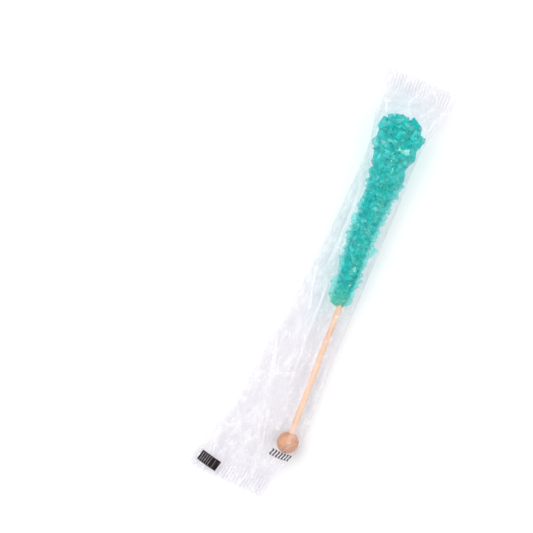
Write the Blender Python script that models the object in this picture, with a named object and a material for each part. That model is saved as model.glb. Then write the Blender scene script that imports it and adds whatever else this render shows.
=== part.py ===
"""A rock candy stick sealed in its clear flow-wrap pack, lying flat on its back.

The pack is one closed solid out to the film's surface. It runs along Y with the candy end at +Y and
the stick's wooden ball end at -Y, rests on the flat of its underside at Z = 0, and has its origin at
the middle of its footprint. Sizes are metres.
"""

import math

import bmesh
import bpy
from mathutils import Vector

MM = 0.001

# The tube of film: two crimped, saw-toothed end seals and a body that fills out over the contents.
PACK_LENGTH = 224.7 * MM  # along the middle
CANDY_END_CUT_LEAN = math.radians(3.6)  # the cut at the candy end is a little askew
CUT_LEAN_REACH = 24 * MM
SEAL_LENGTH = 10 * MM
SEAL_THICKNESS = 0.5 * MM
TOOTH_COUNT = 12
TOOTH_DEPTH = 1.3 * MM
STICK_END_SEAL_HEIGHT = 2.6 * MM
CANDY_END_SEAL_HEIGHT = 6.2 * MM
BODY_EDGE_HEIGHT = 0.34  # share of the crest height at which the two sides of the tube turn
FULLNESS = 0.85  # under 1 rounds the sides of the tube, over 1 pinches them
UNDERSIDE_FULLNESS = 1.3  # over 1, so that the underside is cut flat by the table
SEAL_RIPPLE = 0.55 * MM
SEAL_RIPPLE_PITCH = 17 * MM
PLEAT_HEIGHT = 0.7 * MM
PLEAT_COUNT = 3.5
PLEAT_REACH = 34 * MM
SIDE_FOLD_HEIGHT = 0.45 * MM
SIDE_FOLD_PITCH = 47 * MM

# The stick lies a little askew in the tube. Distances up the pack are measured from the cut edge
# at the stick's end, and distances across it from the middle of that seal.
BALL_RADIUS = 5.5 * MM
BALL_UP = 31.5 * MM
BALL_ACROSS = 20.2 * MM
BALL_HEIGHT = 5.8 * MM
STICK_RADIUS = 1.55 * MM
STICK_LEAN = math.radians(5.3)
STICK_RISE = math.radians(1.45)
CANDY_START = 104 * MM
CANDY_LENGTH = 99 * MM
CANDY_TIP_RADIUS = 5.4 * MM
CANDY_TOP_RADIUS = 9.8 * MM
CANDY_NOSE = 9 * MM
FILM_SLACK = 1.6 * MM
TENT_REACH = 24 * MM
TENT_STEP = 2 * MM

# How far the film's two sides stand from the middle of the stick-end seal, going up the pack.
LEFT_SIDE = (
    (0 * MM, -19.4 * MM),
    (10 * MM, -18.6 * MM),
    (35 * MM, -14.2 * MM),
    (75 * MM, -10.5 * MM),
    (120 * MM, -7.9 * MM),
    (165 * MM, -8.0 * MM),
    (183 * MM, -8.9 * MM),
    (200 * MM, -13.2 * MM),
    (212 * MM, -16.2 * MM),
    (224.7 * MM, -18.4 * MM),
)
RIGHT_SIDE = (
    (0 * MM, 20.0 * MM),
    (10 * MM, 21.2 * MM),
    (25 * MM, 25.2 * MM),
    (36 * MM, 26.5 * MM),
    (75 * MM, 23.3 * MM),
    (120 * MM, 20.5 * MM),
    (165 * MM, 17.8 * MM),
    (186 * MM, 16.2 * MM),
    (197 * MM, 16.6 * MM),
    (206 * MM, 19.2 * MM),
    (213 * MM, 20.6 * MM),
    (224.7 * MM, 20.2 * MM),
)

ACROSS_STEPS = 2 * TOOTH_COUNT
SEAL_TO_BODY = 24 * MM  # over this stretch the tube opens from a flat seal to its full section
CREASED_STEP = 1.6 * MM
BODY_STEP = 3.0 * MM


def ease(t):
    """0 to 1 with a level start and end."""
    t = min(max(t, 0.0), 1.0)
    return t * t * (3 - 2 * t)


def curve_through(points, at):
    """A smooth curve through (distance, value) pairs, read at one distance."""
    last = len(points) - 1
    at = min(max(at, points[0][0]), points[last][0])
    i = next(k for k in range(last) if at <= points[k + 1][0])
    (a0, v0), (a1, v1) = points[i], points[i + 1]
    before = points[max(i - 1, 0)]
    after = points[min(i + 2, last)]
    slope0 = (v1 - before[1]) / (a1 - before[0])
    slope1 = (after[1] - v0) / (after[0] - a0)
    span = a1 - a0
    t = (at - a0) / span
    return (
        (2 * t**3 - 3 * t**2 + 1) * v0
        + (t**3 - 2 * t**2 + t) * span * slope0
        + (3 * t**2 - 2 * t**3) * v1
        + (t**3 - t**2) * span * slope1
    )


def stick_across(up):
    return BALL_ACROSS - (up - BALL_UP) * math.tan(STICK_LEAN)


def stick_height(up):
    return BALL_HEIGHT + (up - BALL_UP) * math.tan(STICK_RISE)


def dome(radius, distance, reach):
    """The half-thickness of a rounded end, at a distance from its middle."""
    return radius * math.sqrt(max(1 - (distance / reach) ** 2, 0.0))


def content_radius(up):
    """The thickness of what lies in the tube: the ball, the bare stick, then the widening candy."""
    ball = dome(BALL_RADIUS, up - BALL_UP, BALL_RADIUS)
    along = (up - CANDY_START) / CANDY_LENGTH
    widening = CANDY_TIP_RADIUS + (CANDY_TOP_RADIUS - CANDY_TIP_RADIUS) * along**1.6 if along > 0 else 0
    shoulder = CANDY_START + CANDY_LENGTH - CANDY_NOSE
    if up > shoulder:
        widening = dome(widening, up - shoulder, CANDY_NOSE)
    if along > 1 or up < CANDY_START:
        widening = 0
    return max(ball, widening, STICK_RADIUS)


def hung_height(up):
    """The film hangs between the high places, so it takes the tallest of the tents over them."""
    tallest = 0.0
    for k in range(-11, 12):
        there = up + k * TENT_STEP
        height = stick_height(there) + content_radius(there) + FILM_SLACK
        tallest = max(tallest, height * (1 - 0.55 * (abs(k) * TENT_STEP / TENT_REACH) ** 1.5))
    return tallest


def crest_height(up):
    """The film is too stiff to crease over each tent, so the crest is their running mean."""
    return sum(hung_height(up + k * TENT_STEP) for k in range(-3, 4)) / 7


def openness(up):
    """0 where the film is pressed flat in a seal, 1 where the tube is fully open."""
    from_stick_end = (up - SEAL_LENGTH) / SEAL_TO_BODY
    from_candy_end = (PACK_LENGTH - SEAL_LENGTH - up) / (0.7 * SEAL_TO_BODY)
    return math.sqrt(ease(from_stick_end)) * math.sqrt(ease(from_candy_end))


def edge_height(up):
    """The height of the tube's two sides, between the heights of the seals."""
    seal = STICK_END_SEAL_HEIGHT if up < PACK_LENGTH / 2 else CANDY_END_SEAL_HEIGHT
    share = openness(up)
    return seal * (1 - share) + BODY_EDGE_HEIGHT * crest_height(up) * share


def pleating(up):
    """How strongly the pleats that the seals gather stand up."""
    from_seal = min(up, PACK_LENGTH - up) - SEAL_LENGTH
    return ease(1 - from_seal / PLEAT_REACH) * ease(from_seal / (0.3 * PLEAT_REACH))


def section(up):
    """One station's points, as (across, height): the top sheet left to right, then the underside back."""
    left = curve_through(LEFT_SIDE, up)
    right = curve_through(RIGHT_SIDE, up)
    middle = (left + right) / 2
    half = (right - left) / 2
    share = openness(up)
    crest = crest_height(up)
    side = edge_height(up)
    crest_at = (stick_across(up) - middle) / half * 0.8
    top, under = [], []
    for k in range(ACROSS_STEPS + 1):
        even = 2 * k / ACROSS_STEPS - 1
        turned = math.sin(even * math.pi / 2)
        place = even * (1 - share) + turned * share
        across = middle + half * place
        reach = 1 - crest_at if place > crest_at else 1 + crest_at
        fullness = max(1 - ((place - crest_at) / reach) ** 2, 0.0) ** FULLNESS
        ripple = SEAL_RIPPLE * (1 - share) * math.sin(2 * math.pi * across / SEAL_RIPPLE_PITCH + up / PACK_LENGTH)
        level = side + ripple
        inner = 1 - place**2
        pleat = PLEAT_HEIGHT * pleating(up) * inner * math.cos(PLEAT_COUNT * math.pi * place)
        fold = math.sin(2 * math.pi * (up / SIDE_FOLD_PITCH + 0.9 * place)) * math.sin(math.pi * inner)
        lift = (crest - side) * share * fullness + pleat + SIDE_FOLD_HEIGHT * share * fold
        top.append((across, level + SEAL_THICKNESS / 2 + max(lift, 0.0)))
        drop = UNDERSIDE_FULLNESS * side * share * fullness
        under.append((across, max(level - SEAL_THICKNESS / 2 - drop, 0.0)))
    return top + under[::-1]


def stations():
    """Distances up the pack, closer together where the film is gathered towards the seals."""
    found = [0.0, TOOTH_DEPTH]
    up = SEAL_LENGTH
    while up < PACK_LENGTH - SEAL_LENGTH - 0.5 * CREASED_STEP:
        found.append(up)
        near_seal = min(up, PACK_LENGTH - up) < SEAL_LENGTH + SEAL_TO_BODY
        up += CREASED_STEP if near_seal else BODY_STEP
    return found + [PACK_LENGTH - SEAL_LENGTH, PACK_LENGTH - TOOTH_DEPTH, PACK_LENGTH]


def saw_tooth(step):
    """How far the cut edge is notched in at one of the steps across the pack."""
    return TOOTH_DEPTH * (0.85 if step % 2 == 0 else 0.0)


def film_pack():
    """Lofts the stations into one closed solid and closes it at the two saw-toothed cuts."""
    places = stations()
    shape = bmesh.new()
    rings = []
    for up in places:
        ring = []
        for j, (across, height) in enumerate(section(up)):
            step = j if j <= ACROSS_STEPS else 2 * ACROSS_STEPS + 1 - j
            notch = saw_tooth(step)
            along = up + notch if up == places[0] else up - notch if up == places[-1] else up
            along += across * math.tan(CANDY_END_CUT_LEAN) * ease(1 - (PACK_LENGTH - up) / CUT_LEAN_REACH)
            ring.append(shape.verts.new((across, along, height)))
        rings.append(ring)
    around = len(rings[0])
    for lower, upper in zip(rings, rings[1:]):
        for j in range(around):
            n = (j + 1) % around
            shape.faces.new((lower[j], lower[n], upper[n], upper[j]))
    for ring in (rings[0], rings[-1]):
        for k in range(ACROSS_STEPS):
            mirror = around - 1 - k
            shape.faces.new((ring[k], ring[k + 1], ring[mirror - 1], ring[mirror]))
    bmesh.ops.recalc_face_normals(shape, faces=shape.faces)
    lowest = Vector(min(v.co[i] for v in shape.verts) for i in range(3))
    highest = Vector(max(v.co[i] for v in shape.verts) for i in range(3))
    foot = Vector(((lowest.x + highest.x) / 2, (lowest.y + highest.y) / 2, lowest.z))
    bmesh.ops.translate(shape, verts=shape.verts, vec=-foot)
    mesh = bpy.data.meshes.new("film_pack")
    shape.to_mesh(mesh)
    shape.free()
    mesh.shade_smooth()
    mesh.set_sharp_from_angle(angle=math.radians(40))
    return bpy.data.objects.new("film_pack", mesh)


def clear_film():
    """Clear film that takes a pale tint from the blue-green candy behind it."""
    material = bpy.data.materials.new("clear_film")
    material.use_nodes = True
    shader = material.node_tree.nodes["Principled BSDF"]
    shader.inputs["Base Color"].default_value = (0.62, 0.86, 0.86, 1)
    shader.inputs["Roughness"].default_value = 0.15
    shader.inputs["Metallic"].default_value = 0.0
    return material


def main():
    for old in list(bpy.data.objects):
        bpy.data.objects.remove(old)
    collection = bpy.data.collections.new("rock_candy_stick")
    bpy.context.scene.collection.children.link(collection)
    pack = film_pack()
    pack.data.materials.append(clear_film())
    collection.objects.link(pack)


main()
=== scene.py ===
"""A rock candy stick in its clear flow-wrap pack: film, sugar crystals, birch stick, ball and print."""

import math

import bmesh
import bpy
import numpy as np
from bpy.props import FloatProperty, FloatVectorProperty, IntProperty, PointerProperty
from mathutils import Euler, Matrix, Vector
from mathutils.bvhtree import BVHTree


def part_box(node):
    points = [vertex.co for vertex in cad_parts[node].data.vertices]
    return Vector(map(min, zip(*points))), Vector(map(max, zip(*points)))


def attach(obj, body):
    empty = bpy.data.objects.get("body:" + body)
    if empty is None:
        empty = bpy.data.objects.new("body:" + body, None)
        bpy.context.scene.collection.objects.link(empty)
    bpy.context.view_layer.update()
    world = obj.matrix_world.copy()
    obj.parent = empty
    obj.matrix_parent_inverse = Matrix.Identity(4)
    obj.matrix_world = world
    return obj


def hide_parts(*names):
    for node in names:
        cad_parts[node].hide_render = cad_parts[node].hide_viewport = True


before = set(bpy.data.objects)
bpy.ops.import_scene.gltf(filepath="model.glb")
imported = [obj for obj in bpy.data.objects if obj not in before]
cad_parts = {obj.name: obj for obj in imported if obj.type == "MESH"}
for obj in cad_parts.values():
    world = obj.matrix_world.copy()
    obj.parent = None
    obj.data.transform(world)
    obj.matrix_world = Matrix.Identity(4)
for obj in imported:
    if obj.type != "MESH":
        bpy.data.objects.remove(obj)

bl_info = {
    "name": "Rock Candy Stick",
    "version": (1, 0, 0),
    "blender": (4, 5, 0),
    "location": "View3D > Sidebar > Rock Candy",
    "description": "Builds a wrapped rock candy stick and the stage it lies on",
    "category": "Add Mesh",
}

MM = 0.001
LOW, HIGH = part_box("film_pack")
PACK_LENGTH = 224.7 * MM  # along the middle
CUT_LEAN = math.tan(math.radians(3.6))  # the cut at the candy end is a little askew
CUT_LEAN_REACH = 24 * MM  # how far down the pack the film follows that lean
SEAL_MIDDLE = HIGH.x - 26.5 * MM  # the middle of the seal at the stick's end
CANDY_FROM = 104 * MM
CANDY_TO = 204 * MM

# Pairs of a distance up the pack from its cut edge, and one across it from the middle of the stick-end
# seal, in millimetres.
LEFT_SIDE = ((0, -19.4), (10, -18.6), (35, -14.2), (75, -10.5), (120, -7.9), (165, -8.0), (183, -8.9),
             (200, -13.2), (212, -16.2), (224.7, -18.4))
RIGHT_SIDE = ((0, 20.0), (10, 21.2), (25, 25.2), (36, 26.5), (75, 23.3), (120, 20.5), (165, 17.8),
              (186, 16.2), (197, 16.6), (206, 19.2), (213, 20.6), (224.7, 20.2))
CANDY_LEFT = ((104, 7.5), (108, 6.2), (120, 4.9), (135, 1.7), (150, -0.3), (165, -1.7), (180, -4.9),
              (188, -7.4), (195, -8.8), (200, -6.4), (204.5, -2.0))
CANDY_RIGHT = ((104, 15.5), (108, 16.8), (120, 16.4), (135, 15.2), (150, 14.4), (165, 14.2), (180, 14.2),
               (188, 14.0), (195, 13.7), (200, 11.2), (204.5, 5.0))


def curve_through(points, at):
    """A smooth curve through (distance, value) pairs in millimetres, read at an array of distances."""
    xs = np.array([p[0] for p in points], float) * MM
    ys = np.array([p[1] for p in points], float) * MM
    at = np.clip(np.asarray(at, float), xs[0], xs[-1])
    i = np.clip(np.searchsorted(xs, at, side="left") - 1, 0, len(xs) - 2)
    before, after = np.maximum(i - 1, 0), np.minimum(i + 2, len(xs) - 1)
    span = xs[i + 1] - xs[i]
    slope0 = (ys[i + 1] - ys[before]) / (xs[i + 1] - xs[before])
    slope1 = (ys[after] - ys[i]) / (xs[after] - xs[i])
    t = (at - xs[i]) / span
    return ((2 * t**3 - 3 * t**2 + 1) * ys[i] + (t**3 - 2 * t**2 + t) * span * slope0
            + (3 * t**2 - 2 * t**3) * ys[i + 1] + (t**3 - t**2) * span * slope1)


def candy_sides(up):
    """The candy's left and right side, at a distance up the pack."""
    return curve_through(CANDY_LEFT, up), curve_through(CANDY_RIGHT, up)


def film_sides(up):
    """The film's left and right side, at a distance up the pack."""
    return curve_through(LEFT_SIDE, up), curve_through(RIGHT_SIDE, up)


def ease(t):
    """0 to 1, with a soft start and a soft end."""
    t = np.clip(t, 0, 1)
    return t * t * (3 - 2 * t)


def to_row(across, up, height):
    """Pack distances to the shared frame."""
    return np.stack(np.broadcast_arrays(SEAL_MIDDLE + across, LOW.y + up, height), -1)


# ---------------------------------------------------------------- settings

class StickSettings(bpy.types.PropertyGroup):
    radius: FloatProperty(name="Stick radius", description="Radius of the birch stick",
                          default=1.55 * MM, unit="LENGTH")
    ball_radius: FloatProperty(name="Ball radius", description="Radius of the wooden ball",
                               default=5.5 * MM, unit="LENGTH")
    ball_up: FloatProperty(name="Ball up the pack", description="Ball's distance from the cut edge",
                           default=31.5 * MM, unit="LENGTH")
    ball_across: FloatProperty(name="Ball across", description="Ball's distance from the seal's middle",
                               default=20.2 * MM, unit="LENGTH")
    ball_height: FloatProperty(name="Ball height", description="Height of the ball's middle",
                               default=5.85 * MM, unit="LENGTH")
    lean: FloatProperty(name="Lean", description="How far the stick lies askew in the pack",
                        default=math.radians(5.3), unit="ROTATION")
    rise: FloatProperty(name="Rise", description="How far the candy lifts the stick",
                        default=math.radians(1.45), unit="ROTATION")
    birch: FloatVectorProperty(name="Birch", description="Colour of the stick", subtype="COLOR",
                               size=3, default=(0.74, 0.50, 0.355))
    ball: FloatVectorProperty(name="Ball wood", description="Colour of the ball", subtype="COLOR",
                              size=3, default=(0.56, 0.285, 0.165))


class CandySettings(bpy.types.PropertyGroup):
    seed: IntProperty(name="Seed", description="Seed of the crystals' growth", default=7)
    coarse: FloatProperty(name="Coarse crystal", description="Crystal size at the top of the candy",
                          default=4.6 * MM, unit="LENGTH")
    medium: FloatProperty(name="Medium crystal", description="Crystal size half way down",
                          default=2.7 * MM, unit="LENGTH")
    fine: FloatProperty(name="Fine crystal", description="Crystal size at the lower end",
                        default=1.7 * MM, unit="LENGTH")
    sugar: FloatVectorProperty(name="Sugar", description="Colour of the crystals' surface",
                               subtype="COLOR", size=3, default=(0.011, 0.54, 0.51))
    depth_colour: FloatVectorProperty(name="Depth colour", description="Colour left after the light has "
                                      "crossed the crystals", subtype="COLOR", size=3,
                                      default=(0.10, 0.93, 0.91))
    depth: FloatProperty(name="Depth", description="How quickly the crystals take the light up",
                         default=30.0)


class FilmSettings(bpy.types.PropertyGroup):
    seal_length: FloatProperty(name="Seal length", description="Length of each crimped end seal",
                               default=10 * MM, unit="LENGTH")
    seal_gap: FloatProperty(name="Seal thickness", description="Thickness of a pressed seal",
                            default=0.18 * MM, unit="LENGTH")
    teeth: IntProperty(name="Teeth", description="Saw teeth along each cut edge", default=12)
    tooth_depth: FloatProperty(name="Tooth depth", description="Depth of the saw teeth",
                               default=1.25 * MM, unit="LENGTH")
    rib_height: FloatProperty(name="Rib height", description="Height of the crimped ribs",
                              default=0.2 * MM, unit="LENGTH")
    crease_height: FloatProperty(name="Crease height", description="Height of the film's sharp creases",
                                 default=0.55 * MM, unit="LENGTH")
    crease_seed: IntProperty(name="Crease seed", description="Seed of the smaller creases", default=11)
    seam_from: FloatProperty(name="Back seal from", description="The lengthwise seal's left side, from the "
                             "middle of the stick-end seal", default=-3.6 * MM, unit="LENGTH")
    seam_width: FloatProperty(name="Back seal width", description="Width of the lengthwise seal, folded flat",
                              default=9 * MM, unit="LENGTH")
    tint: FloatVectorProperty(name="Film tint", description="Light left by one layer of film",
                              subtype="COLOR", size=3, default=(0.988, 0.983, 0.997))
    # Painted light: this teal tint stands in for the candy's light reaching the film near it.
    painted_candy_light_tint: FloatVectorProperty(name="Tint by the candy", description="The same where the film takes "
                                    "colour from the candy", subtype="COLOR", size=3,
                                    default=(0.938, 0.977, 0.985))


class PrintSettings(bpy.types.PropertyGroup):
    bar_count: IntProperty(name="Bars", description="Narrow bars in the printed block", default=5)
    block_width: FloatProperty(name="Block width", description="Width of the printed block",
                               default=11 * MM, unit="LENGTH")
    block_height: FloatProperty(name="Block height", description="Height of the printed block",
                                default=5.5 * MM, unit="LENGTH")
    stroke_count: IntProperty(name="Strokes", description="Slanted strokes in the printed row", default=7)
    ink: FloatVectorProperty(name="Ink", description="Colour of the print", subtype="COLOR", size=3,
                             default=(0.018, 0.010, 0.013))


class StageSettings(bpy.types.PropertyGroup):
    floor: FloatVectorProperty(name="Floor", description="Colour of the floor", subtype="COLOR",
                               size=3, default=(0.68, 0.68, 0.68))
    key: FloatProperty(name="Key light", description="Power of the main lamp", default=4.2)
    fill: FloatProperty(name="Fill light", description="Power of the second lamp", default=2.1)
    sky: FloatProperty(name="Overhead", description="Strength of the surround straight overhead; it is 1 "
                       "at the horizon", default=0.12)


# ---------------------------------------------------------------- node helpers

def add_node(tree, kind, settings=None, **inputs):
    """A node with its settings, and its inputs given as values or as sockets to link."""
    node = tree.nodes.new(kind)
    for name, value in (settings or {}).items():
        setattr(node, name, value)
    for name, value in inputs.items():
        socket = node.inputs[int(name[1:])] if name[0] == "i" and name[1:].isdigit() else \
            node.inputs[name.replace("_", " ")]
        if isinstance(value, bpy.types.NodeSocket):
            tree.links.new(value, socket)
        else:
            socket.default_value = value
    return node


def new_material(name):
    """A material holding only its output node."""
    material = bpy.data.materials.new(name)
    material.use_nodes = True
    tree = material.node_tree
    tree.nodes.clear()
    return material, tree, tree.nodes.new("ShaderNodeOutputMaterial")


def ramp(tree, factor, *stops):
    """A colour ramp through (position, colour) stops."""
    node = tree.nodes.new("ShaderNodeValToRGB")
    elements = node.color_ramp.elements
    while len(elements) < len(stops):
        elements.new(0.5)
    for element, (position, colour) in zip(elements, stops):
        element.position = position
        element.color = (*colour, 1) if len(colour) == 3 else colour
    tree.links.new(factor, node.inputs["Fac"])
    return node.outputs["Color"]


def calc(tree, operation, first, second):
    """The result of a sum on two values or sockets."""
    return add_node(tree, "ShaderNodeMath", {"operation": operation}, i0=first, i1=second).outputs[0]


def attribute(tree, name):
    """The value that the mesh holds under a name."""
    return add_node(tree, "ShaderNodeAttribute", {"attribute_name": name}).outputs["Fac"]


def object_place(tree):
    return add_node(tree, "ShaderNodeTexCoord").outputs["Object"]


def noise(tree, at, scale, detail, **more):
    """Plain noise at a place, from 0 to 1."""
    return add_node(tree, "ShaderNodeTexNoise", Vector=at, Scale=scale, Detail=detail, **more).outputs["Fac"]


def mapped(tree, at, scale):
    return add_node(tree, "ShaderNodeMapping", Vector=at, Scale=scale).outputs[0]


def remap(tree, value, low, high, at_low, at_high, **settings):
    """Maps a value between two limits to another two."""
    return add_node(tree, "ShaderNodeMapRange", settings, Value=value, From_Min=low, From_Max=high,
                    To_Min=at_low, To_Max=at_high).outputs[0]


def grey(level):
    return (level, level, level)


def mix_colour(tree, factor, first, second, blend="MIX"):
    """Two colours mixed by a factor, or blended in another way."""
    node = tree.nodes.new("ShaderNodeMix")
    node.data_type = "RGBA"
    node.blend_type = blend
    for socket, value in ((node.inputs[0], factor), (node.inputs[6], first), (node.inputs[7], second)):
        if isinstance(value, bpy.types.NodeSocket):
            tree.links.new(value, socket)
        else:
            socket.default_value = value
    return node.outputs[2]


def shade(colour, factor):
    """A colour made lighter or darker."""
    return tuple(min(c * factor, 1.0) for c in colour[:3]) + (1.0,)


def shape_mesh(shape, name):
    """Turns a bmesh into a mesh and frees it."""
    mesh = bpy.data.meshes.new(name)
    shape.to_mesh(mesh)
    shape.free()
    return mesh


def mesh_places(mesh):
    """The places of a mesh's points, one row each."""
    co = np.empty(len(mesh.vertices) * 3, np.float32)
    mesh.vertices.foreach_get("co", co)
    return co.reshape(-1, 3).astype(float)


def finish_piece(name, mesh, material):
    """Makes the object, gives it its finish and lets it ride with the pack."""
    piece = bpy.data.objects.new(name, mesh)
    bpy.context.scene.collection.objects.link(piece)
    mesh.materials.clear()
    mesh.materials.append(material)
    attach(piece, "root")
    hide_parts("film_pack")
    return piece


# ---------------------------------------------------------------- stick and ball

def stick_across(stick, up):
    """How far across the pack the stick lies, at a distance up it."""
    return stick.ball_across - (up - stick.ball_up) * math.tan(stick.lean)


def stick_height(stick, up):
    return stick.ball_height + (up - stick.ball_up) * math.tan(stick.rise)


def stick_point(stick, up):
    """The stick's axis at a distance up the pack."""
    return to_row(stick_across(stick, up), up, stick_height(stick, up))


def stick_frame(stick):
    """A matrix that stands at the ball's middle with its Z along the stick."""
    start = Vector(stick_point(stick, stick.ball_up))
    end = Vector(stick_point(stick, stick.ball_up + 0.1))
    turn = (end - start).to_track_quat("Z", "Y")
    return Matrix.Translation(start) @ turn.to_matrix().to_4x4()


def turned_mesh(name, profile, segments, place):
    """Turns a closed profile of (radius, height) round Z, with UVs along and round it."""
    shape = bmesh.new()
    rings = []
    for radius, height in profile:
        if radius < 1e-7:
            rings.append([shape.verts.new((0, 0, height))])
        else:
            rings.append([shape.verts.new((radius * math.cos(a), radius * math.sin(a), height))
                          for a in np.linspace(0, 2 * math.pi, segments, endpoint=False)])
    layer = shape.loops.layers.uv.new("wood")
    for row, (lower, upper) in enumerate(zip(rings, rings[1:])):
        for j in range(segments):
            n = (j + 1) % segments
            if len(lower) == 1:
                corners = [(lower[0], j, row), (upper[n], j + 1, row + 1), (upper[j], j, row + 1)]
            elif len(upper) == 1:
                corners = [(lower[j], j, row), (lower[n], j + 1, row), (upper[0], j, row + 1)]
            else:
                corners = [(lower[j], j, row), (lower[n], j + 1, row), (upper[n], j + 1, row + 1),
                           (upper[j], j, row + 1)]
            face = shape.faces.new([c[0] for c in corners])
            face.smooth = True
            for loop, (_, around, at) in zip(face.loops, corners):
                loop[layer].uv = (around / segments, profile[at][1] * 100)
    bmesh.ops.recalc_face_normals(shape, faces=shape.faces)
    shape.transform(place)
    return shape_mesh(shape, name)


def birch_material(colour):
    """Pale birch with long, faint grain and a few darker flecks."""
    material, tree, output = new_material("birch")
    uv = add_node(tree, "ShaderNodeUVMap", {"uv_map": "wood"}).outputs["UV"]
    grain = noise(tree, mapped(tree, uv, (9, 1.1, 1)), 1.0, 6.0, Roughness=0.62, Distortion=0.4)
    fleck = noise(tree, mapped(tree, uv, (30, 5, 1)), 1.0, 3.0)
    wood = ramp(tree, grain, (0.28, shade(colour, 0.86)), (0.5, shade(colour, 1.0)),
                (0.72, shade(colour, 1.1)))
    wood = mix_colour(tree, ramp(tree, fleck, (0.60, grey(0)), (0.72, grey(0.5))), wood,
                      shade((colour[0] * 0.97, colour[1] * 0.9, colour[2] * 0.8), 0.9))
    bump = add_node(tree, "ShaderNodeBump", Height=grain, Strength=0.25, Distance=0.0002).outputs[0]
    shader = add_node(tree, "ShaderNodeBsdfPrincipled", Base_Color=wood, Roughness=0.55, Normal=bump)
    tree.links.new(shader.outputs[0], output.inputs["Surface"])
    return material


def ball_material(colour, centre):
    """Turned beech with rings that show as curved bands."""
    material, tree, output = new_material("turned_ball")
    place = add_node(tree, "ShaderNodeMapping", {"vector_type": "TEXTURE"}, Vector=object_place(tree),
                     Location=tuple(centre), Rotation=(0.35, 1.12, -0.25)).outputs[0]
    bands = add_node(tree, "ShaderNodeTexWave", {"wave_type": "RINGS", "rings_direction": "Z"},
                     Vector=place, Scale=260.0, Distortion=1.6, Detail=3.0,
                     Detail_Scale=1.6).outputs["Fac"]
    pores = noise(tree, mapped(tree, place, (2200, 2200, 260)), 1.0, 3.0)
    wood = ramp(tree, bands, (0.0, shade(colour, 0.84)), (0.45, shade(colour, 1.0)),
                (1.0, shade(colour, 1.12)))
    wood = mix_colour(tree, ramp(tree, pores, (0.5, grey(0)), (0.75, grey(0.55))), wood,
                      shade(colour, 0.72))
    bump = add_node(tree, "ShaderNodeBump", Height=pores, Strength=0.2, Distance=0.0002).outputs[0]
    shader = add_node(tree, "ShaderNodeBsdfPrincipled", Base_Color=wood, Roughness=0.45, Normal=bump)
    tree.links.new(shader.outputs[0], output.inputs["Surface"])
    return material


class BuildStick(bpy.types.Operator):
    """Builds the birch stick and the wooden ball at its end"""
    bl_idname = "rock_candy.stick"
    bl_label = "Stick and ball"

    def execute(self, context):
        stick = context.scene.rock_candy_stick
        place = stick_frame(stick)
        r, ball = stick.radius, stick.ball_radius
        end = 172 * MM - 3 * MM
        start = ball * 0.55
        lengthwise = np.linspace(start + 0.5 * MM, end, 90)
        wobble = 1 + 0.012 * np.sin(lengthwise * 210) + 0.008 * np.sin(lengthwise * 530 + 1)
        profile = [(0, start), (r * 0.9, start)]
        profile += [(r * w, z) for w, z in zip(wobble, lengthwise)]
        profile += [(r * 0.82, end + 0.35 * MM), (0, end + 0.4 * MM)]
        mesh = turned_mesh("birch_stick", profile, 28, place)
        finish_piece("birch_stick", mesh, birch_material(stick.birch))

        hole = r + 0.25 * MM
        lip = math.asin(hole / ball)
        angles = np.linspace(-math.pi / 2, math.pi / 2 - lip, 40)
        outer = [(ball * math.cos(a), ball * math.sin(a)) for a in angles]
        outer[0] = (0, -ball)
        floor = ball * 0.52
        profile = outer + [(hole - 0.12 * MM, outer[-1][1] - 0.35 * MM), (hole - 0.14 * MM, floor),
                           (0, floor)]
        mesh = turned_mesh("wooden_ball", profile, 56, place)
        finish_piece("wooden_ball", mesh, ball_material(stick.ball, place.translation))
        return {"FINISHED"}


# ---------------------------------------------------------------- sugar crystals

CRYSTAL_KINDS = 6
CORE_SIDES = 20
SIDE_ROOM = 0.7 * MM  # kept clear inside the film's sides
CRYSTAL_FLOOR, CRYSTAL_CEILING = 0.55 * MM, 19.2 * MM
# Single crystals that stand out: up the pack, across it, height and size, in millimetres.
OUTLIERS = ((135.5, 16.2, 8.5, 4.0), (187, -5.6, 9.5, 5.4), (195.5, 12.2, 9.0, 5.6), (201.5, 0.6, 10.5, 6.4),
            (195.5, -6.4, 9.0, 5.8), (199.0, 8.6, 12.0, 5.4), (172, 14.4, 7.0, 3.4), (166, 14.6, 8.5, 3.0),
            (158, 14.2, 6.5, 2.8), (120, 15.8, 8.0, 3.2))


def crystal_mesh(kind):
    """A sugar crystal: a slanted block with a few corners cut by flat planes."""
    rng = np.random.default_rng(100 + kind)
    shape = bmesh.new()
    bmesh.ops.create_cube(shape, size=1.0)
    for v in shape.verts:
        v.co.x += 0.24 * v.co.z * (1 if kind % 2 else -1)
        v.co.y *= 0.86
    for _ in range(3 + kind % 3):
        normal = Vector(rng.choice([-1, 1], 3) * rng.uniform(0.35, 1, 3)).normalized()
        cut = normal * (0.43 + 0.10 * rng.random())
        bmesh.ops.bisect_plane(shape, geom=shape.verts[:] + shape.edges[:] + shape.faces[:], dist=1e-5,
                               plane_co=cut, plane_no=normal, clear_outer=True)
        bmesh.ops.holes_fill(shape, edges=shape.edges, sides=12)
    bmesh.ops.triangulate(shape, faces=shape.faces)
    bmesh.ops.recalc_face_normals(shape, faces=shape.faces)
    return shape_mesh(shape, "crystal_%d" % kind)


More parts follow.
